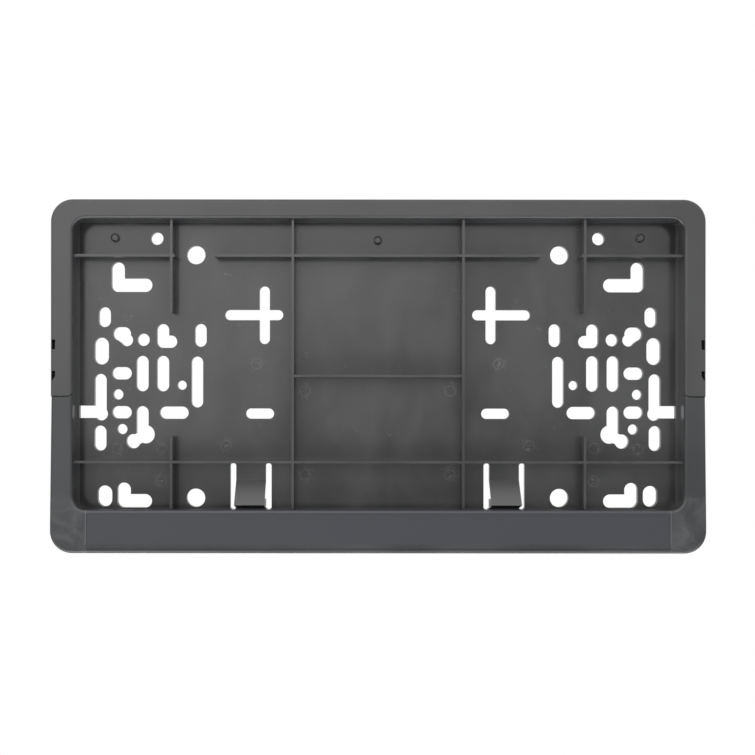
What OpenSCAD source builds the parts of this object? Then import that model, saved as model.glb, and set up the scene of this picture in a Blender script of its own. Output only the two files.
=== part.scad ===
// Number plate holder: a ribbed back plate, and a clip-on frame moulded in two pieces that trap the plate's edge

/* [Number plate] */
// Width of the number plate
plate_w = 304.8; // [303:0.1:320]
// Height of the number plate
plate_h = 152.4; // [151:0.1:160]
// Corner radius of the number plate
plate_r = 6; // [2:0.5:10]
// Clearance round the edge of the plate
plate_gap = 0.5; // [0.3:0.1:1]
// Depth of the slot that holds the edge of the plate
plate_slot = 1.5; // [1:0.1:2.5]

/* [Frame] */
// Thickness of the front lip
lip_t = 1.5; // [1.2:0.1:2.5]
// How far the lip covers the sides of the plate
cover_side = 7; // [6:0.1:9]
// How far the lip covers the top edge of the plate
cover_top = 5.8; // [5:0.1:7]
// How far the lip covers the bottom edge of the plate
cover_bottom = 8.1; // [6:0.1:9]
// Corner radius of the window in the frame
window_r = 6.2; // [3:0.1:10]
// Outer corner radius of the frame
corner_r = 10.5; // [9:0.5:16]
// Height of the rail below the plate
rail_h = 12.7; // [11:0.1:24]
// Thickness of the skirt round the frame
skirt_t = 1.5; // [1.2:0.1:1.8]
// Distance of the skirt's rear edge from the mounting face
skirt_lift = 0.8; // [0.4:0.1:3]
// Radius of the frame's outer front edge
outer_edge = 1.4; // [0.6:0.1:1.4]
// Radius of the lip's inner front edge
inner_edge = 1.4; // [0.4:0.1:1.4]
// Height of the joint between the two frame pieces, from the middle of the holder
seam_z = -9.6; // [-20:0.1:-8]
// Width of the open joint between the two frame pieces, seen from the front
seam_gap = 0.4; // [0.1:0.1:0.6]
// How far the lower piece stands back from the upper one at the joint
seam_step = 0.3; // [0.1:0.1:0.5]
// How far the lower piece's sides flare out beyond the upper piece at their foot
flare = 0.4; // [0.2:0.1:0.6]

/* [Name strip field] */
// Width of the shallow field on the bottom rail
strip_w = 277.6; // [200:0.1:290]
// Height of the field
strip_h = 16.6; // [8:0.1:17]
// Depth of the field
strip_depth = 0.4; // [0.2:0.1:0.6]
// Distance of the field from the frame's bottom edge
strip_up = 2; // [1.6:0.1:4]

/* [Back plate] */
// Thickness of the back plate's floor
floor_t = 2.5; // [2:0.1:4]
// Height of the ribs and of the ledge above the floor
rib_h = 8.5; // [5:0.1:12]
// Thickness of the ribs
rib_t = 1.2; // [1:0.1:2]
// Thickness of the wall round the floor
wall_t = 2; // [1.5:0.1:2.4]
// How far the wall stands back from the lip's edge
wall_set = 1.2; // [0.2:0.1:1.5]
// Thickness of the ledge that the plate rests on
ledge_t = 1.8; // [1.2:0.1:2.5]
// Width of the ledge's margin outside the plate's slot
land = 1.15; // [0.6:0.05:1.5]
// Clearance between the back plate and the frame's skirt
fit_gap = 0.25; // [0.1:0.05:0.4]
// Distance of the inner upright ribs from the middle
inner_rib_x = 40.8; // [35:0.1:44]
// Distance of the outer upright ribs from the middle
outer_rib_x = 98.9; // [96.5:0.1:99.2]
// Height of the upper cross rib above the middle
upper_rib_z = 57.8; // [50:0.1:59]
// Height of the middle cross rib above the middle
middle_rib_z = 0.2; // [-10:0.1:10]
// Depth of the lower cross rib below the middle
lower_rib_z = 41; // [39:0.1:41.2]
// Diameter of the small round pips on the floor
pip_d = 4.2; // [3:0.1:6]
// Height of the pips
pip_h = 1.4; // [0.8:0.1:3]

/* [Screw holes] */
// Diameter of the four corner screw holes
corner_hole_d = 9; // [6:0.1:10]
// Spacing of the corner holes across the holder
corner_hole_w = 176.8; // [170:0.1:180]
// Spacing of the corner holes up the holder
corner_hole_h = 118.2; // [112:0.1:120]
// Diameter of the two upper screw holes
upper_hole_d = 6.1; // [4:0.1:8]
// Spacing of the upper screw holes
upper_hole_w = 214.8; // [212:0.1:220]
// Height of the upper screw holes above the middle
upper_hole_z = 67.1; // [64:0.1:70]
// Width of the slots and holes for 6 mm screws
slot_w = 6; // [5.5:0.1:6.5]
// Width of the elbow slots
elbow_w = 6.6; // [5.5:0.1:7.5]
// Width of the widest slots
wide_w = 7.1; // [6:0.1:8]
// Width of the crosses, the inner slots and the small holes for 5 mm screws
small_w = 5; // [4:0.1:5.6]

/* [Spring tabs] */
// Distance of each tab from the middle
tab_x = 61.6; // [58:0.1:64]
// Width of each tab
tab_w = 14.4; // [10:0.1:18]
// Width of the relief slot at each side of a tab
relief_w = 2.8; // [2:0.1:4]
// Height of the relief slots
relief_h = 22.4; // [18:0.1:22.8]
// Height of the wedge above the floor
wedge_h = 9; // [6:0.1:9.6]
// Length of the wedge's ramp
wedge_run = 11.2; // [8:0.1:13]
// Distance of the wedge's ridge from the bottom wall
wedge_gap = 3.1; // [2.4:0.1:4.5]
// Wall thickness of the wedge
wedge_t = 1.8; // [1.2:0.1:2.2]

/* [Latches] */
// Height of the latch windows
window_h = 4.6; // [3.5:0.1:6]
// Width of the latch windows from the frame's thin outer skin
window_w = 1.8; // [1.6:0.1:2.2]
// Thickness of the skin that closes the latch windows outside
window_skin = 0.6; // [0.4:0.1:0.8]
// Height of the upper latch window above the middle
window_z1 = 15.1; // [12:0.1:20]
// Height of the lower latch window above the middle
window_z2 = 0.2; // [-2:0.1:5]
// Width of the cut corner of the lower latch window
window_cut = 1.5; // [0.5:0.1:1.5]
// Length of the catches inside the skirt
catch_l = 12; // [6:0.5:16]
// How far the catches stand out from the skirt
catch_out = 1; // [0.6:0.1:1.2]

/* [Hidden] */
$fn = 64;
EPS = 0.01;

// Depths from the mounting face to the front
ledge_z = floor_t + rib_h;
lip_z = ledge_z + plate_slot;
depth = lip_z + lip_t;

// Outline of the frame: the plate, its clearance, the ledge's margin, the fit and the skirt
rim_out = plate_gap + land + fit_gap + skirt_t;
frame_w = plate_w + 2 * rim_out;
frame_h = plate_h + rim_out + rail_h;
plate_z = frame_h / 2 - rim_out - plate_h / 2;
plate_bottom = plate_z - plate_h / 2;

// Window in the frame
win_top = plate_z + plate_h / 2 - cover_top;
win_bottom = plate_bottom + cover_bottom;
win_size = [plate_w - 2 * cover_side, win_top - win_bottom];
win_z = (win_top + win_bottom) / 2;

// Inside of the back plate's wall
tray_size = [win_size.x + 2 * wall_set, win_size.y + 2 * wall_set];
tray_bottom = win_z - tray_size.y / 2;
tray_top = win_z + tray_size.y / 2;

// Inside of the skirt, and the edge of the ledge
skirt_size = [frame_w - 2 * skirt_t, frame_h - 2 * skirt_t];
skirt_r = corner_r - skirt_t;
ledge_size = [skirt_size.x - 2 * fit_gap, skirt_size.y - 2 * fit_gap];

// Upright ribs stop short of the field of slots
rib_stop_top = 30.5;
rib_stop_bottom = -29;
// Ends of the upper cross rib on both sides of the corner holes, and diameter of its round outer end
rib_break_in = 78.3;
rib_break_out = 98.2;
rib_end_d = 1.8;

// Places of the slots in the right half, by the centres of each slot's two ends: [end, end, width]
ELBOW_TOP = [126.4, 44.4];
ELBOW_BOTTOM = [123.4, -60.6];
CROSS = [55, 29.9];
KEY = [113, -28.2];
link_w = 5.4;
lobe_w = 7;
narrow_w = 5.7;
SLOTS = [
    [[ELBOW_TOP.x, 52.3], ELBOW_TOP, elbow_w],
    [[113, ELBOW_TOP.y], ELBOW_TOP, elbow_w],
    [[ELBOW_BOTTOM.x, -55], ELBOW_BOTTOM, elbow_w],
    [[113.1, ELBOW_BOTTOM.y], ELBOW_BOTTOM, elbow_w],
    [[CROSS.x, 18.3], [CROSS.x, 41.4], small_w],
    [[48.5, CROSS.y], [71.8, CROSS.y], small_w],
    [[52.9, -18.1], [61.6, -18.1], small_w],
    [[132.9, 27], [132.9, 30.7], slot_w],
    [[123.4, 20.7], [125.6, 20.7], elbow_w],
    [[122.1, 17.7], [122.1, 17.7], slot_w],
    [[122.9, 18.2], [125.2, 19.9], link_w],
    [[114, 17.8], [114, 17.8], slot_w],
    [[104.5, 16.9], [104.5, 22.5], slot_w],
    [[100.6, 16.9], [104.5, 16.9], slot_w],
    [[86.1, 17.3], [86.1, 22.7], narrow_w],
    [[134.4, 9.3], [134.4, 15.3], wide_w],
    [[134.9, -16.4], [134.9, -1.8], slot_w],
    [[134.6, -18.2], [134.6, -18.2], elbow_w],
    [[122.7, 1.5], [126.4, 1.5], slot_w],
    [[114.5, -4.3], [114.5, 7], slot_w],
    [[104.5, -4.3], [104.5, 7], slot_w],
    [[87.8, -12.3], [87.8, 6.8], narrow_w],
    [[95.2, -4.3], [95.2, -4.3], small_w - 0.5],
    [[126.3, -8.8], [126.3, -8.8], small_w],
    [[124.3, -25.7], [124.3, -25.7], small_w],
    [[122.7, -17.5], [126.3, -17.5], slot_w],
    [[95, -17.7], [103.1, -17.7], slot_w],
    [[114.5, -17.5], [114.5, KEY.y], slot_w],
    [[118.9, -31.6], [118.9, -31.6], lobe_w],
    [[117, -30.6], KEY, link_w],
    [[135, -33.2], [135, -27], slot_w],
    [[132.7, -59.8], [132.7, -56.7], wide_w],
];
// Square-ended arm beside the outermost slot: its far corner and its size
ARM_END = [145.2, -20.3];
ARM_SIZE = [10.3, 6];

// Inside size and middle height of the tray that these places belong to; they move with a larger tray
FIELD = [293.2, 140.9];
FIELD_Z = 5.8;
function placed(p) = [p.x * tray_size.x / FIELD.x, win_z + (p.y - FIELD_Z) * tray_size.y / FIELD.y];

// Joint between the two frame pieces: its open depth, and the ear of the lower one at the lip's inner edge
seam_deep = lip_t + 0.1;
ear_run = 2.9;
ear_r = 3.7;
// Height at which the flare of the lower piece ends
flare_z = -frame_h / 2 + corner_r + 4;

// Latches between the two frame pieces: tongues with lugs on them
tongue_t = 1.2;
tongue_gap = 0.15;
tongue_above = 3;
tongue_below = 12;
tongue_top = window_z1 + window_h / 2 + tongue_above;
tongue_bottom = seam_z - tongue_below;
tongue_x = skirt_size.x / 2 - tongue_gap - tongue_t;
tongue_back = 4;
tongue_room_x = 0.2;
tongue_room_z = 0.5;
lug_top = ledge_z - 0.5;
lug_room = 0.2;
window_back = 7.5;
skin_x = frame_w / 2 - window_skin;

// Catches inside the skirt: their flat tip and sloping lead, and their places
catch_top = ledge_z - ledge_t - 0.1;
catch_flat = 0.6;
catch_lead = 2;
catch_pitch = 74;
side_catch_zs = [62, 36, -48];

// Gussets behind the ledge: thickness, foot on the wall, tip under the ledge, and places
gusset_t = 1.5;
gusset_foot = 0.8;
gusset_back = 1.5;
gusset_tip = 1;
gusset_in = 1.5;
gusset_pitch = 37;
side_gusset_zs = [49, -35];

// Pips on the floor: the three places, and the share of their height that is straight
PIPS = [[-127.7, 67.4], [0, 66.2], [127.7, 67.4]];
pip_straight = 0.6;
pip_tip = 0.6;

// Corner radius of the relief slots, and distance of the wedge's foot from the bottom wall
relief_r = 1.2;
wedge_foot = 0.5;

// Turns the parts from their plan, with the front up, to their place on the car, with the front at -Y
module upright() {
    rotate([90, 0, 0]) children();
}

// Rectangle with round corners
module rounded(size, r) {
    for (x = [-1, 1], y = [-1, 1])
        translate([x * (size.x / 2 - r), y * (size.y / 2 - r)]) circle(r = r);
    square([size.x - 2 * r, size.y], center = true);
    square([size.x, size.y - 2 * r], center = true);
}

// Slot with round ends between two points
module slot(from, to, w) {
    run = to - from;
    translate(from) circle(d = w);
    if (norm(run) > 0) {
        translate(to) circle(d = w);
        translate(from) rotate(atan2(run.y, run.x)) translate([0, -w / 2]) square([norm(run), w]);
    }
}

// Takes a section round a rectangle with round corners; its x is outwards from the outline, its y to the front
module around(size, r) {
    for (side = [0 : 3]) {
        reach = side % 2 == 0 ? size.x : size.y;
        run = side % 2 == 0 ? size.y : size.x;
        rotate(90 * side) {
            translate([reach / 2, 0, 0]) rotate([90, 0, 0])
                linear_extrude(run - 2 * r, center = true) children();
            translate([reach / 2 - r, run / 2 - r, 0])
                rotate_extrude(angle = 90) translate([r, 0]) children();
        }
    }
}

// Waste outside a rounded front edge; dir is 1 for an outer edge and -1 for the edge of an opening
module edge_waste(r, dir) {
    difference() {
        translate([dir > 0 ? -r : -1, depth - r]) square([r + 1, r + 1]);
        translate([-dir * r, depth - r]) circle(r = r);
    }
}

// The frame as one ring of the width given, before it is parted at the joint
module frame_ring(w) {
    difference() {
        translate([0, 0, skirt_lift]) linear_extrude(depth - skirt_lift) rounded([w, frame_h], corner_r);
        translate([0, win_z, 0]) linear_extrude(depth + 1) rounded(win_size, window_r);
        translate([0, plate_z, ledge_z - EPS]) linear_extrude(plate_slot + EPS)
            rounded([plate_w + 2 * plate_gap, plate_h + 2 * plate_gap], plate_r);
        linear_extrude(ledge_z) rounded(skirt_size, skirt_r);
        rail_hollow();
        around([w, frame_h], corner_r) edge_waste(outer_edge, 1);
        translate([0, win_z, 0]) around(win_size, window_r) edge_waste(inner_edge, -1);
    }
}

// Waste outside the lower piece's sides, which slope out from the joint down to their foot
module flare_waste() {
    slope = atan((seam_step + flare) / (seam_z - flare_z));
    for (m = [0, 1])
        mirror([m, 0, 0]) translate([frame_w / 2 - seam_step, seam_z, 0]) rotate([90, 0, slope])
            linear_extrude(frame_h, center = true) {
                translate([0, -1]) square([corner_r, depth + 2]);
                edge_waste(outer_edge, 1);
            }
}

// Plan of what lies below the joint, moved up by the distance given
module below_seam(up) {
    translate([-frame_w, -frame_h]) square([2 * frame_w, frame_h + seam_z + up]);
}

// Plan of the lower piece's ears, which close the round corners of the upper piece's lip
module ears(up) {
    x = win_size.x / 2;
    for (m = [0, 1])
        mirror([m, 0, 0]) difference() {
            translate([x - 1, seam_z - 1]) square([ear_run + 1, ear_r + 1]);
            translate([x + ear_run, seam_z + ear_r]) circle(r = ear_r - up);
        }
}

// Hollow behind the bottom rail, between the plate's stop and the skirt
module rail_hollow() {
    top = plate_bottom - plate_gap - rib_t;
    bottom = -skirt_size.y / 2 + land + fit_gap;
    translate([-ledge_size.x / 2 + corner_r, bottom, ledge_z - EPS])
        cube([ledge_size.x - 2 * corner_r, top - bottom, plate_slot + EPS]);
}

// Catch inside the skirt, which grips behind the ledge; it stands out towards -x
module skirt_catch() {
    tip = catch_top - catch_flat;
    rotate([90, 0, 0]) linear_extrude(catch_l, center = true)
        polygon([[EPS, catch_top], [-catch_out, catch_top], [-catch_out, tip], [EPS, tip - catch_lead]]);
}

// Catches along the top or bottom skirt, on the side given by dir
module row_of_catches(dir) {
    for (i = [-1.5 : 1.5])
        translate([i * catch_pitch, dir * skirt_size.y / 2, 0]) rotate(dir * 90) skirt_catch();
}

// Catches along both side skirts, at the heights given
module side_catches(zs) {
    for (m = [0, 1], z = zs)
        mirror([m, 0, 0]) translate([skirt_size.x / 2, z, 0]) skirt_catch();
}

// Plan of a latch window on the right side at height z, with its lower inner corner cut by the width given
module latch_plan(z, cut) {
    x = skin_x - window_w;
    top = z + window_h / 2;
    bottom = z - window_h / 2;
    corner = cut > 0 ? [[x + cut, bottom], [x, bottom + 1.5 * cut]] : [[x, bottom]];
    polygon(concat([[x, top], [skin_x, top], [skin_x, bottom]], corner));
}

// Windows through the lip and the skirt that show the lugs of the lower piece
module latch_windows() {
    for (m = [0, 1])
        mirror([m, 0, 0]) {
            translate([0, 0, lug_top]) linear_extrude(depth) latch_plan(window_z1, 0);
            translate([0, 0, lug_top]) linear_extrude(depth) latch_plan(window_z2, window_cut);
            for (z = [window_z1, window_z2])
                translate([skirt_size.x / 2 - 1, z - window_h / 2, window_back])
                    cube([skin_x - skirt_size.x / 2 + 1, window_h, lug_top + lug_room - window_back]);
        }
}

// Tongues that slide up inside the upper piece, with the lugs that click into its windows
module tongues() {
    root = skirt_t / 2;
    lug_back = window_back + tongue_gap;
    lug_x = tongue_x + tongue_t / 2;
    for (m = [0, 1])
        mirror([m, 0, 0]) {
            translate([tongue_x, tongue_bottom, tongue_back])
                cube([tongue_t, tongue_top - tongue_bottom, lug_top - tongue_back]);
            translate([tongue_x, tongue_bottom, tongue_back])
                cube([tongue_t + tongue_gap + root, seam_z - seam_gap / 2 - tongue_bottom, lug_top - tongue_back]);
            for (z = [window_z1, window_z2])
                translate([lug_x, z - window_h / 2 + tongue_gap, lug_back])
                    cube([skin_x - tongue_gap - lug_x, window_h - 2 * tongue_gap, lug_top - lug_back]);
        }
}

// Floor, wall and ledge, moulded as one pan
module pan() {
    difference() {
        union() {
            translate([0, win_z, 0]) linear_extrude(ledge_z)
                rounded([tray_size.x + 2 * wall_t, tray_size.y + 2 * wall_t], window_r + wall_t);
            translate([0, 0, ledge_z - ledge_t]) linear_extrude(ledge_t)
                rounded(ledge_size, skirt_r - fit_gap);
        }
        translate([0, win_z, floor_t]) linear_extrude(depth) rounded(tray_size, window_r);
        // The ledge is cut back beside the tongues
        for (m = [0, 1])
            mirror([m, 0, 0]) translate([tongue_x - tongue_room_x, tongue_bottom - tongue_room_z, 0])
                cube([corner_r, tongue_top - tongue_bottom + 2 * tongue_room_z, depth]);
    }
}

// Upright rib at x, from one height to another
module upright_rib(x, from, to) {
    translate([x - rib_t / 2, from, floor_t - EPS]) cube([rib_t, to - from, rib_h + EPS]);
}

// Cross rib at height z, from one side to the other
module cross_rib(z, from, to) {
    translate([from, z - rib_t / 2, floor_t - EPS]) cube([to - from, rib_t, rib_h + EPS]);
}

// Ribs that stiffen the floor and carry the plate
module ribs() {
    side = tray_size.x / 2 + EPS;
    for (m = [0, 1])
        mirror([m, 0, 0]) {
            upright_rib(inner_rib_x, tray_bottom - EPS, tray_top + EPS);
            upright_rib(outer_rib_x, rib_stop_top, tray_top + EPS);
            upright_rib(outer_rib_x, tray_bottom - EPS, rib_stop_bottom);
            cross_rib(upper_rib_z, rib_break_out, side);
            translate([rib_break_out, upper_rib_z, floor_t - EPS]) cylinder(d = rib_end_d, h = rib_h + EPS);
        }
    cross_rib(upper_rib_z, -rib_break_in, rib_break_in);
    cross_rib(middle_rib_z, -inner_rib_x, inner_rib_x);
    cross_rib(-lower_rib_z, -side, side);
}

// Small round pips near the top of the floor
module pips() {
    side_h = pip_h * pip_straight;
    for (p = PIPS)
        translate([placed(p).x, placed(p).y, floor_t - EPS]) {
            cylinder(d = pip_d, h = side_h);
            translate([0, 0, side_h - EPS]) cylinder(d1 = pip_d, d2 = pip_d * pip_tip, h = pip_h - side_h);
        }
}

// Gusset behind the ledge: it stands on the wall's outer face and reaches out along +x
module gusset(reach) {
    top = ledge_z - ledge_t + EPS;
    rotate([90, 0, 0]) linear_extrude(gusset_t, center = true)
        polygon([[-EPS, gusset_back], [gusset_foot, gusset_back], [reach, top - gusset_tip], [reach, top],
            [-EPS, top]]);
}

// Gussets all round the back of the ledge
module gussets() {
    wall_x = tray_size.x / 2 + wall_t;
    top = tray_top + wall_t;
    bottom = tray_bottom - wall_t;
    for (i = [-3 : 3]) {
        translate([i * gusset_pitch, top, 0]) rotate(90) gusset(ledge_size.y / 2 - top - gusset_in);
        translate([i * gusset_pitch, bottom, 0]) rotate(-90) gusset(ledge_size.y / 2 + bottom - gusset_in);
    }
    for (m = [0, 1], z = side_gusset_zs)
        mirror([m, 0, 0]) translate([wall_x, z, 0]) gusset(ledge_size.x / 2 - wall_x - gusset_in);
}

// Relief slots that free the spring tabs along their sides
module relief_slots() {
    for (m = [0, 1], side = [-1, 1])
        mirror([m, 0, 0])
            translate([tab_x + side * (tab_w + relief_w) / 2, tray_bottom + relief_h / 2, -1])
                linear_extrude(floor_t + 2) rounded([relief_w, relief_h], relief_r);
}

// Hollow wedges that press the plate against the lip; their section runs up the holder, then to the front
module wedges(hollow) {
    ridge = tray_bottom + wedge_gap;
    slope = wedge_h / wedge_run;
    inset = wedge_t * norm([wedge_h, wedge_run]) / wedge_run;
    inner_top = floor_t + (wedge_run - wedge_t) * slope - inset;
    for (m = [0, 1])
        mirror([m, 0, 0]) translate([tab_x + tab_w / 2, 0, 0]) rotate([90, 0, -90]) linear_extrude(tab_w)
            translate([-ridge, 0])
                if (hollow)
                    polygon([[-wedge_t, -1], [-wedge_t, inner_top], [-wedge_t - (inner_top + 1) / slope, -1]]);
                else
                    polygon([[wedge_gap - wedge_foot, floor_t - EPS], [0, floor_t + wedge_h],
                        [-wedge_run, floor_t], [-wedge_run, floor_t - EPS]]);
}

// Holes and slots for the fixing screws
module screw_holes() {
    through = floor_t + 2;
    arm = placed(ARM_END);
    key = placed(KEY);
    for (m = [0, 1])
        mirror([m, 0, 0]) translate([0, 0, -1]) {
            for (s = SLOTS)
                linear_extrude(through) slot(placed(s[0]), placed(s[1]), s[2]);
            translate([arm.x - ARM_SIZE.x, arm.y, 0]) cube([ARM_SIZE.x, ARM_SIZE.y, through]);
            translate([key.x, key.y, 0]) cylinder(d = corner_hole_d, h = through);
            for (side = [-1, 1])
                translate([corner_hole_w / 2, side * corner_hole_h / 2, 0])
                    cylinder(d = corner_hole_d, h = through);
            translate([upper_hole_w / 2, upper_hole_z, 0]) cylinder(d = upper_hole_d, h = through);
        }
}

module back_plate() {
    color("#5b5b5b") upright() difference() {
        union() {
            pan();
            ribs();
            pips();
            gussets();
            wedges(false);
        }
        wedges(true);
        relief_slots();
        screw_holes();
    }
}

module upper_frame() {
    color("#646464") upright() {
        difference() {
            frame_ring(frame_w);
            translate([0, 0, -1]) linear_extrude(depth + 2) below_seam(-seam_gap / 2);
            translate([0, 0, depth - seam_deep]) linear_extrude(depth) {
                below_seam(seam_gap / 2);
                ears(seam_gap / 2);
            }
            latch_windows();
        }
        row_of_catches(1);
        side_catches([side_catch_zs[0], side_catch_zs[1]]);
    }
}

module lower_frame() {
    color("#54565a") upright() {
        difference() {
            intersection() {
                frame_ring(frame_w + 2 * flare);
                union() {
                    translate([0, 0, -1]) linear_extrude(depth + 2) below_seam(-seam_gap / 2);
                    translate([0, 0, depth - seam_deep]) linear_extrude(depth) ears(-seam_gap / 2);
                }
            }
            flare_waste();
            translate([-strip_w / 2, -frame_h / 2 + strip_up, depth - strip_depth]) cube([strip_w, strip_h, 1]);
        }
        row_of_catches(-1);
        side_catches([side_catch_zs[2]]);
        tongues();
    }
}

back_plate();
upper_frame();
lower_frame();
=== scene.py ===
import bpy
import math
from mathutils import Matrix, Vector


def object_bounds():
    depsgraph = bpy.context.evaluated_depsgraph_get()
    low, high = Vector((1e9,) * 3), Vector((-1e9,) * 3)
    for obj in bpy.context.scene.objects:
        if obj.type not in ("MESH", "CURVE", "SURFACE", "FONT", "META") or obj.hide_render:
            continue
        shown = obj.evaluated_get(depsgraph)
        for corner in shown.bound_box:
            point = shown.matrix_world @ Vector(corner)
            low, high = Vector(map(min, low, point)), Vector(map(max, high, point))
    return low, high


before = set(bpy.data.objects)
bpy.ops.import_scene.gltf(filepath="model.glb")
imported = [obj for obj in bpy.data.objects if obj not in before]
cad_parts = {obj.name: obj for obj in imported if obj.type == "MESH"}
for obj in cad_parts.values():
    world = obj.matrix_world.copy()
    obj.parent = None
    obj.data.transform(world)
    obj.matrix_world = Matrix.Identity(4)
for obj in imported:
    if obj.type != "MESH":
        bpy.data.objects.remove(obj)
cad_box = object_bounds()
bpy.ops.object.select_all(action="DESELECT")

# Back plate
# One injection moulding in black polypropylene: a floor full of slots, with ribs, a wall and a ledge round
# it. It is screwed to the car through its floor. The tool was polished, so the floor mirrors its own walls.
MM = 0.001


def linear(hex_colour):
    """An sRGB hex colour as linear red, green, blue and alpha."""
    parts = [int(hex_colour[i:i + 2], 16) / 255 for i in (1, 3, 5)]
    return tuple(c / 12.92 if c <= 0.04045 else ((c + 0.055) / 1.055) ** 2.4 for c in parts) + (1.0,)


def add_node(owner, kind, settings=None, inputs=None):
    """Adds a node to a material or the world. An input is linked to a socket, or set to a plain value."""
    made = owner.node_tree.nodes.new(kind)
    for key, value in (settings or {}).items():
        setattr(made, key, value)
    for key, value in (inputs or {}).items():
        if isinstance(value, bpy.types.NodeSocket):
            owner.node_tree.links.new(value, made.inputs[key])
        else:
            made.inputs[key].default_value = value
    return made


def new_material(name):
    """An empty node material with its surface shader, wired to the output."""
    material = bpy.data.materials.new(name)
    material.use_nodes = True
    material.node_tree.nodes.clear()
    shader = add_node(material, "ShaderNodeBsdfPrincipled")
    add_node(material, "ShaderNodeOutputMaterial", None, {"Surface": shader.outputs["BSDF"]})
    return material, shader


# The cloudy flow marks have soft edges and are stretched a little up and down
FLOW_STRETCH = (1.0, 1.0, 0.6)
FLOW_NOISE = {"Detail": 3.0, "Roughness": 0.5, "Distortion": 0.4}
FLOW_DARK_BELOW = 0.3
FLOW_LIGHT_ABOVE = 0.7
GRAIN_DETAIL = 2.0
PLASTIC_IOR = 1.5

# On a Mix node: its settings, the sockets of the lower and the upper layer, and the socket of the result
COLOUR_MIX = ({"data_type": "RGBA"}, 6, 7, 2)
NUMBER_MIX = (None, 2, 3, 0)


def moulded_plastic(name, dark, light, smooth, rough, cloud_mm, grain_mm, grain_depth_mm):
    """Moulded plastic: cloudy flow marks in its colour and gloss, over the grain left by the tool."""
    material, shader = new_material(name)
    place = add_node(material, "ShaderNodeTexCoord").outputs["Object"]
    flow = add_node(material, "ShaderNodeMapping", None, {"Vector": place, "Scale": FLOW_STRETCH}).outputs[0]
    cloud = add_node(material, "ShaderNodeTexNoise", {"noise_dimensions": "3D"},
                     {"Vector": flow, "Scale": 1 / (cloud_mm * MM), **FLOW_NOISE}).outputs["Fac"]
    depth = add_node(material, "ShaderNodeMapRange", {"interpolation_type": "SMOOTHSTEP"},
                     {"Value": cloud, "From Min": FLOW_DARK_BELOW, "From Max": FLOW_LIGHT_ABOVE,
                      "To Min": 0.0, "To Max": 1.0}).outputs["Result"]
    settings, under, over, result = COLOUR_MIX
    colour = add_node(material, "ShaderNodeMix", settings,
                      {"Factor": depth, under: linear(dark), over: linear(light)}).outputs[result]
    gloss = add_node(material, "ShaderNodeMapRange", None,
                     {"Value": depth, "From Min": 0.0, "From Max": 1.0,
                      "To Min": smooth, "To Max": rough}).outputs["Result"]
    grain = add_node(material, "ShaderNodeTexNoise", {"noise_dimensions": "3D"},
                     {"Vector": place, "Scale": 1 / (grain_mm * MM), "Detail": GRAIN_DETAIL}).outputs["Fac"]
    relief = add_node(material, "ShaderNodeBump", None,
                      {"Height": grain, "Strength": 1.0, "Distance": grain_depth_mm * MM}).outputs["Normal"]
    material.node_tree.links.new(colour, shader.inputs["Base Color"])
    material.node_tree.links.new(gloss, shader.inputs["Roughness"])
    material.node_tree.links.new(relief, shader.inputs["Normal"])
    shader.inputs["IOR"].default_value = PLASTIC_IOR
    return material, shader, place


def lay_over(material, shader, mask, strength, colour, roughness):
    """Covers the shader's colour and roughness with new ones, as far as the mask and the strength say."""
    factor = add_node(material, "ShaderNodeMath", {"operation": "MULTIPLY"},
                      {0: mask, 1: strength}).outputs[0]
    layers = (("Base Color", linear(colour), COLOUR_MIX), ("Roughness", roughness, NUMBER_MIX))
    for socket, value, (settings, under, over, result) in layers:
        before = shader.inputs[socket].links[0].from_socket
        blend = add_node(material, "ShaderNodeMix", settings, {"Factor": factor, under: before, over: value})
        material.node_tree.links.new(blend.outputs[result], shader.inputs[socket])


def fade(material, value, full_mm, none_mm):
    """1 up to one distance in millimetres, and down to 0 at the other."""
    return add_node(material, "ShaderNodeMapRange", None,
                    {"Value": value, "From Min": full_mm * MM, "From Max": none_mm * MM,
                     "To Min": 1.0, "To Max": 0.0}).outputs["Result"]


def distance_from(material, value, centre):
    """How far a coordinate lies from a place on its axis, either way."""
    off = add_node(material, "ShaderNodeMath", {"operation": "SUBTRACT"}, {0: value, 1: centre}).outputs[0]
    return add_node(material, "ShaderNodeMath", {"operation": "ABSOLUTE"}, {0: off}).outputs[0]


def front_panel(material, place, x_mm, z_mm, soft_mm):
    """1 inside a rectangle seen from the front, and inside its mirror image, with soft edges."""
    axes = add_node(material, "ShaderNodeSeparateXYZ", None, {0: place}).outputs
    across = distance_from(material, axes["X"], 0.0)
    inside = []
    for value, (low, high) in ((across, x_mm), (axes["Z"], z_mm)):
        off = distance_from(material, value, (low + high) / 2 * MM)
        half = (high - low) / 2
        inside.append(fade(material, off, half, half + soft_mm))
    return add_node(material, "ShaderNodeMath", {"operation": "MULTIPLY"}, dict(enumerate(inside))).outputs[0]


PATCH_NOISE = {"Detail": 4.0, "Roughness": 0.65, "Distortion": 1.2}


def patches(material, place, size_mm, start, end):
    """Cloudy patches of the size given: 0 below one level of the noise, 1 above the other."""
    noise = add_node(material, "ShaderNodeTexNoise", {"noise_dimensions": "3D"},
                     {"Vector": place, "Scale": 1 / (size_mm * MM), **PATCH_NOISE}).outputs["Fac"]
    return add_node(material, "ShaderNodeMapRange", None,
                    {"Value": noise, "From Min": start, "From Max": end,
                     "To Min": 0.0, "To Max": 1.0}).outputs["Result"]


def clothe(name, material):
    """Gives a CAD node its finished material."""
    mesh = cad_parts[name].data
    mesh.materials.clear()
    mesh.materials.append(material)


# Black polypropylene from a polished tool: a dim, slightly wavy mirror with cloudy flow marks
tray_plastic, tray_shader, tray_place = moulded_plastic(
    "polypropylene_polished", dark="#323232", light="#3c3c3c", smooth=0.17, rough=0.25,
    cloud_mm=22, grain_mm=1.2, grain_depth_mm=0.002)

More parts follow.
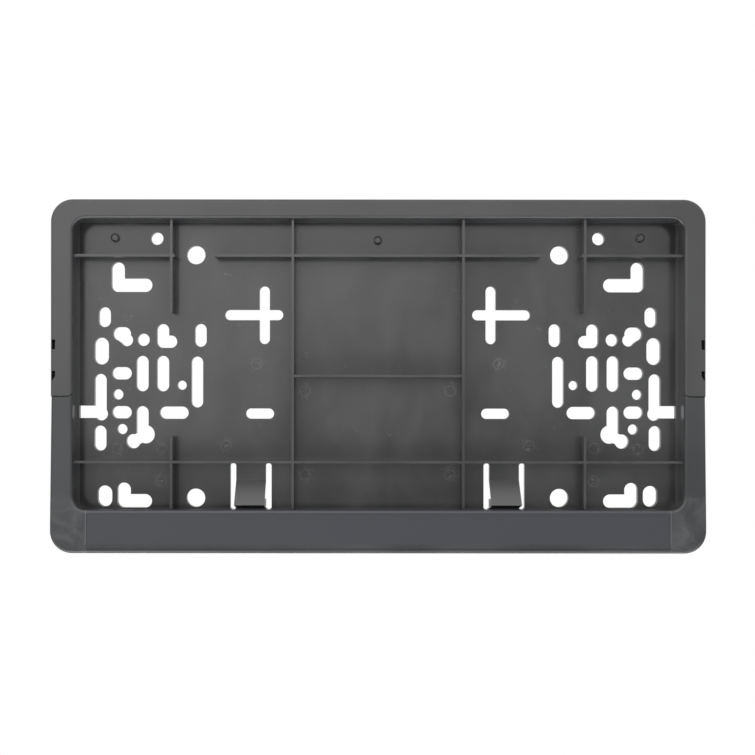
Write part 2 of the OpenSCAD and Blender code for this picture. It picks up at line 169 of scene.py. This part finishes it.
# The sloping faces of the two wedges are duller, and painted paler: a painted highlight for the light from
# above that they face
WEDGE_X = (54.0, 69.4)
WEDGE_Z = (-63.0, -50.5)
wedge_painted_highlight = front_panel(tray_plastic, tray_place, WEDGE_X, WEDGE_Z, soft_mm=0.4)
lay_over(tray_plastic, tray_shader, wedge_painted_highlight, strength=1.0, colour="#4b4b4b", roughness=0.4)

# The walls round the floor are rougher, and painted paler: painted light for the light from below that they
# catch
FLOOR_X = (-144.8, 144.8)
FLOOR_Z = (-90.0, 74.6)
floor_area = front_panel(tray_plastic, tray_place, FLOOR_X, FLOOR_Z, soft_mm=0.3)
walls_painted_light = add_node(tray_plastic, "ShaderNodeMath", {"operation": "SUBTRACT"},
                 {0: 1.0, 1: floor_area}).outputs[0]
lay_over(tray_plastic, tray_shader, walls_painted_light, strength=1.0, colour="#484848", roughness=0.3)

# Where the pins pushed the moulding out, they left rings with a rubbed patch over each, mirrored left to
# right. They show on the front of the floor, which lies before PIN_FACE, and not on its rear.
PIN_MARKS = ((105.2, -34.8), (105.2, -51.0), (73.8, -33.7), (35.2, -47.9), (35.3, -7.0), (58.8, 6.3),
             (126.7, -35.3))
PIN_RADIUS = 2.5
PIN_FACE = -2.0
RING_STRENGTH = 0.35
RUB_STRENGTH = 0.6
tray_axes = add_node(tray_plastic, "ShaderNodeSeparateXYZ", None, {0: tray_place}).outputs
tray_across = distance_from(tray_plastic, tray_axes["X"], 0.0)
tray_flat = add_node(tray_plastic, "ShaderNodeCombineXYZ", None,
                     {"X": tray_across, "Z": tray_axes["Z"]}).outputs[0]
pin_rings = 0.0
pin_rubs = 0.0
for pin_x, pin_z in PIN_MARKS:
    away = add_node(tray_plastic, "ShaderNodeVectorMath", {"operation": "DISTANCE"},
                    {0: tray_flat, 1: (pin_x * MM, 0, pin_z * MM)}).outputs["Value"]
    ring = fade(tray_plastic, distance_from(tray_plastic, away, PIN_RADIUS * MM), full_mm=0.1, none_mm=0.45)
    rub = fade(tray_plastic, away, full_mm=1.0, none_mm=5.5)
    pin_rings = add_node(tray_plastic, "ShaderNodeMath", {"operation": "MAXIMUM"},
                         {0: ring, 1: pin_rings}).outputs[0]
    pin_rubs = add_node(tray_plastic, "ShaderNodeMath", {"operation": "MAXIMUM"},
                        {0: rub, 1: pin_rubs}).outputs[0]
rub_patches = patches(tray_plastic, tray_place, size_mm=3.5, start=0.5, end=0.62)
rubbed = add_node(tray_plastic, "ShaderNodeMath", {"operation": "MULTIPLY"},
                  {0: pin_rubs, 1: rub_patches}).outputs[0]
ring_marks = add_node(tray_plastic, "ShaderNodeMath", {"operation": "MULTIPLY"},
                      {0: pin_rings, 1: RING_STRENGTH}).outputs[0]
rub_marks = add_node(tray_plastic, "ShaderNodeMath", {"operation": "MULTIPLY"},
                     {0: rubbed, 1: RUB_STRENGTH}).outputs[0]
marked = add_node(tray_plastic, "ShaderNodeMath", {"operation": "MAXIMUM"},
                  {0: ring_marks, 1: rub_marks}).outputs[0]
front_side = add_node(tray_plastic, "ShaderNodeMath", {"operation": "LESS_THAN"},
                      {0: tray_axes["Y"], 1: PIN_FACE * MM}).outputs[0]
pin_marks = add_node(tray_plastic, "ShaderNodeMath", {"operation": "MULTIPLY"},
                     {0: marked, 1: front_side}).outputs[0]
lay_over(tray_plastic, tray_shader, pin_marks, strength=1.0, colour="#565656", roughness=0.4)

# Short light scuffs from handling lie here and there on the floor
scuffs = patches(tray_plastic, tray_place, size_mm=7, start=0.67, end=0.74)
lay_over(tray_plastic, tray_shader, scuffs, strength=0.5, colour="#565656", roughness=0.36)
clothe("back_plate", tray_plastic)

# Upper frame
# The lip and skirt over the top and the upper sides, moulded in the same plastic with a satin face.
# It clips over the ledge of the back plate with catches inside its skirt.

# Black polypropylene with a satin face: a soft, broad sheen. The real grain is finer than the render can
# show, so it is drawn at half a millimetre.
upper_plastic, upper_shader, upper_place = moulded_plastic(
    "polypropylene_satin", dark="#303030", light="#3a3a3a", smooth=0.28, rough=0.38,
    cloud_mm=60, grain_mm=0.5, grain_depth_mm=0.006)

# Dirt and painted shade darken the joint between the two frame pieces
JOINT_X = (147.0, 157.0)
JOINT_Z = (-10.0, -9.2)


def paint_joint_dirt_and_shade(material, shader, place):
    """Darkens the edges of the joint line across both side rails, with dirt and painted shade."""
    joint_dirt_and_shade = front_panel(material, place, JOINT_X, JOINT_Z, soft_mm=0.15)
    lay_over(material, shader, joint_dirt_and_shade, strength=0.7, colour="#101010", roughness=0.5)


paint_joint_dirt_and_shade(upper_plastic, upper_shader, upper_place)
clothe("upper_frame", upper_plastic)

# Lower frame
# The lip and skirt along the bottom with the wide rail and its shallow field for a name strip.
# Its two tongues slide up inside the upper frame and latch in its windows.

# The same satin polypropylene, painted a touch darker and bluer than the upper frame: painted shade, with the
# tint of the bluish light from below on the right
lower_plastic, lower_shader, lower_place = moulded_plastic(
    "polypropylene_satin_shaded_bluish", dark="#2a2b2c", light="#333435", smooth=0.28, rough=0.38,
    cloud_mm=60, grain_mm=0.5, grain_depth_mm=0.006)

# The field is smoother and a shade bluer than the rail, and the step round it carries a painted highlight: a
# thin light line
FIELD_X = (-138.8, 138.8)
FIELD_Z = (-79.8, -63.2)
STEP_HIGHLIGHT_WIDTH = 0.35
STEP_SOFT = 0.1
field = front_panel(lower_plastic, lower_place, FIELD_X, FIELD_Z, STEP_SOFT)
lay_over(lower_plastic, lower_shader, field, strength=1.0, colour="#303236", roughness=0.3)
round_field = front_panel(lower_plastic, lower_place, (FIELD_X[0] - STEP_HIGHLIGHT_WIDTH, FIELD_X[1] + STEP_HIGHLIGHT_WIDTH),
                          (FIELD_Z[0], FIELD_Z[1] + STEP_HIGHLIGHT_WIDTH), STEP_SOFT)
painted_step_highlight = add_node(lower_plastic, "ShaderNodeMath", {"operation": "SUBTRACT"},
                     {0: round_field, 1: field}).outputs[0]
lay_over(lower_plastic, lower_shader, painted_step_highlight, strength=0.8, colour="#5a5b5e", roughness=0.3)

# Beside the field, the corners carry pale clouds of painted highlight
CORNER_X = (139.5, 160.0)
CORNER_Z = (-90.0, -58.0)
corner_highlight_area = front_panel(lower_plastic, lower_place, CORNER_X, CORNER_Z, soft_mm=2.0)
corner_highlight_patches = patches(lower_plastic, lower_place, size_mm=14, start=0.45, end=0.75)
corner_painted_highlights = add_node(lower_plastic, "ShaderNodeMath", {"operation": "MULTIPLY"},
                  {0: corner_highlight_area, 1: corner_highlight_patches}).outputs[0]
lay_over(lower_plastic, lower_shader, corner_painted_highlights, strength=0.6, colour="#505050", roughness=0.36)

# Dirt and painted shade in the joint, as on the upper frame
paint_joint_dirt_and_shade(lower_plastic, lower_shader, lower_place)
clothe("lower_frame", lower_plastic)

# Floor and backdrop
# A pale painted board lies far below the holder. A white sheet stands behind it, plain white to the camera
# and in reflections alike.
FLOOR_DROP = 0.8
FLOOR_SIZE = 2.6
BACKDROP_DISTANCE = 0.55
BACKDROP_SIZE = 6.0
PAINT_ROUGHNESS = 0.9


def studio_sheet(name, colour, size, centre, turn):
    """A large flat board of the studio in one plain paint."""
    bpy.ops.mesh.primitive_plane_add(size=size, location=centre, rotation=turn)
    sheet = bpy.context.object
    sheet.name = name
    bpy.ops.object.transform_apply(location=True, rotation=True, scale=True)
    material, shader = new_material(name)
    shader.inputs["Base Color"].default_value = linear(colour)
    shader.inputs["Roughness"].default_value = PAINT_ROUGHNESS
    sheet.data.materials.append(material)
    return material, shader


studio_sheet("floor_board", "#f4f4f4", FLOOR_SIZE, (0, 0, -FLOOR_DROP), (0, 0, 0))
sheet_paint, sheet_shader = studio_sheet(
    "white_sheet", "#fafafa", BACKDROP_SIZE, (0, BACKDROP_DISTANCE, 0), (math.radians(90), 0, 0))
rays = add_node(sheet_paint, "ShaderNodeLightPath").outputs
shown_white = rays["Is Camera Ray"]
for ray_kind in ("Is Glossy Ray", "Is Transmission Ray"):
    shown_white = add_node(sheet_paint, "ShaderNodeMath", {"operation": "MAXIMUM"},
                           {0: rays[ray_kind], 1: shown_white}).outputs[0]
white = add_node(sheet_paint, "ShaderNodeEmission", None, {"Strength": 1.0}).outputs["Emission"]
sheet_face = add_node(sheet_paint, "ShaderNodeMixShader", None,
                      {0: shown_white, 1: sheet_shader.outputs["BSDF"], 2: white}).outputs["Shader"]
sheet_paint.node_tree.links.new(sheet_face, sheet_paint.node_tree.nodes["Material Output"].inputs["Surface"])

# Studio light
# The room is dim low down and bright overhead. A large soft light before the holder on the left and a weaker
# one on the right mirror in its polished floor. Two panels stand low before it.
ROOM_HEIGHTS = (-0.15, 0.45)
ROOM_LEVELS = (0.47, 1.5)
# Each light of the room: where it stands, the nearness at its edge and at its full part, and its strength
LEFT_LIGHT = ((-0.25, -0.9, 0.35), 0.86, 0.97, 1.25)
RIGHT_LIGHT = ((0.3, -0.88, 0.3), 0.92, 1.0, 0.2)
world = bpy.data.worlds.new("studio_room")
bpy.context.scene.world = world
world.use_nodes = True
direction = add_node(world, "ShaderNodeTexCoord").outputs["Generated"]
height = add_node(world, "ShaderNodeSeparateXYZ", None, {0: direction}).outputs["Z"]
level = add_node(world, "ShaderNodeMapRange", {"interpolation_type": "SMOOTHSTEP"},
                 {"Value": height, "From Min": ROOM_HEIGHTS[0], "From Max": ROOM_HEIGHTS[1],
                  "To Min": ROOM_LEVELS[0], "To Max": ROOM_LEVELS[1]}).outputs["Result"]
for aim, edge, full, strength in (LEFT_LIGHT, RIGHT_LIGHT):
    nearness = add_node(world, "ShaderNodeVectorMath", {"operation": "DOT_PRODUCT"},
                        {0: direction, 1: Vector(aim).normalized()}).outputs["Value"]
    glow = add_node(world, "ShaderNodeMapRange", {"interpolation_type": "SMOOTHSTEP"},
                    {"Value": nearness, "From Min": edge, "From Max": full,
                     "To Min": 0.0, "To Max": strength}).outputs["Result"]
    level = add_node(world, "ShaderNodeMath", {"operation": "ADD"}, {0: level, 1: glow}).outputs[0]
room = world.node_tree.nodes["Background"]
room.inputs["Color"].default_value = (1, 1, 1, 1)
world.node_tree.links.new(level, room.inputs["Strength"])

PANEL_SIZE = 0.6
PANEL_Y = -0.43
PANEL_Z = -0.72


def soft_panel(name, x, watts, colour):
    """A soft square studio lamp that faces the holder's middle from below."""
    lamp = bpy.data.lights.new(name, "AREA")
    lamp.shape = "SQUARE"
    lamp.size = PANEL_SIZE
    lamp.energy = watts
    lamp.color = linear(colour)[:3]
    stand = bpy.data.objects.new(name, lamp)
    stand.location = (x, PANEL_Y, PANEL_Z)
    stand.rotation_euler = (-stand.location).to_track_quat("-Z", "Y").to_euler()
    stand.visible_camera = False
    bpy.context.scene.collection.objects.link(stand)


soft_panel("low_left_panel", x=-0.365, watts=4.5, colour="#ffffff")
soft_panel("low_right_panel", x=0.285, watts=3.5, colour="#e8f0ff")

# Camera
# It looks straight at the holder from 450 mm before the rim, a little left of the holder's middle and below
# it. The point of the photo that it looks straight at is AXIS_PX.
IMAGE_PX = 755
RIM_MM_PER_PX = 0.4747
RIM_DISTANCE = 450
SENSOR = 36
AXIS_PX = (353, 382)
AXIS_LEFT = 12
AXIS_DROP = 2.66
ROLL = -0.05
camera_data = bpy.data.cameras.new("camera")
camera_data.sensor_width = SENSOR
camera_data.lens = SENSOR * RIM_DISTANCE / (IMAGE_PX * RIM_MM_PER_PX)
camera_data.shift_x = (IMAGE_PX / 2 - AXIS_PX[0]) / IMAGE_PX
camera_data.shift_y = (AXIS_PX[1] - IMAGE_PX / 2) / IMAGE_PX
camera = bpy.data.objects.new("camera", camera_data)
camera.location = (-AXIS_LEFT * MM, cad_box[0][1] - RIM_DISTANCE * MM, -AXIS_DROP * MM)
camera.rotation_euler = (math.radians(90), math.radians(ROLL), 0)
bpy.context.scene.collection.objects.link(camera)
bpy.context.scene.camera = camera
bpy.context.scene.view_settings.view_transform = "Standard"
